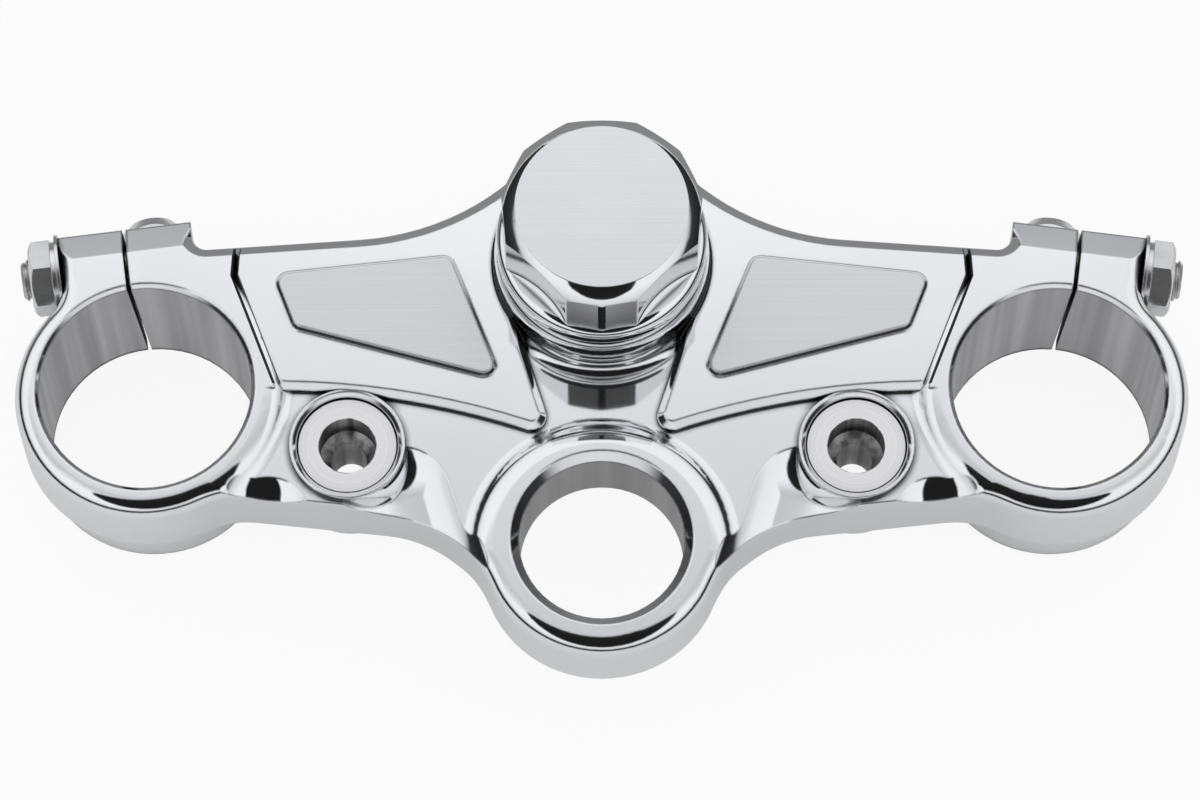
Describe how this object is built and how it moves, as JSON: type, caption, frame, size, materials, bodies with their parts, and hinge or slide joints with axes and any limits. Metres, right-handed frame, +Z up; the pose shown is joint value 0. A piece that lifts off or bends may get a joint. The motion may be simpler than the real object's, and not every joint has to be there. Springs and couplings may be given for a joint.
{
  "type": "motorcycle triple clamp",
  "caption": "Chromed top triple clamp with split fork clamps and pinch studs, domed stem nut, handlebar mount bosses and a round front collar.",
  "frame": {"origin": "on the stem axis at the underside of the arms", "axes": "+X to the part's right across the forks, +Y to the rear (the rider's side, where the slots of the fork clamps open), +Z up along the stem"},
  "size_m": [0.2772, 0.1283, 0.0755],
  "materials": {
    "body_chrome": "mirror polished, with brushed panels and satin bores",
    "nut_chrome": "mirror polished, with a satin top face",
    "hardware_chrome": "polished",
    "bush_steel": "fine turned",
    "stud_steel": "threaded, bright"
  },
  "bodies": {
    "root": {"clamp_body": "body_chrome", "stem_nut": "nut_chrome", "stem_washer": "nut_chrome", "bar_mount_bush_left": "bush_steel", "bar_mount_bush_right": "bush_steel", "pinch_stud_left": "stud_steel", "pinch_nut_left": "hardware_chrome", "pinch_washer_left": "hardware_chrome", "pinch_spring_washer_left": "hardware_chrome", "rear_bolt_left": "hardware_chrome", "pinch_stud_right": "stud_steel", "pinch_nut_right": "hardware_chrome", "pinch_washer_right": "hardware_chrome", "pinch_spring_washer_right": "hardware_chrome", "rear_bolt_right": "hardware_chrome"}
  },
  "joints": []
}
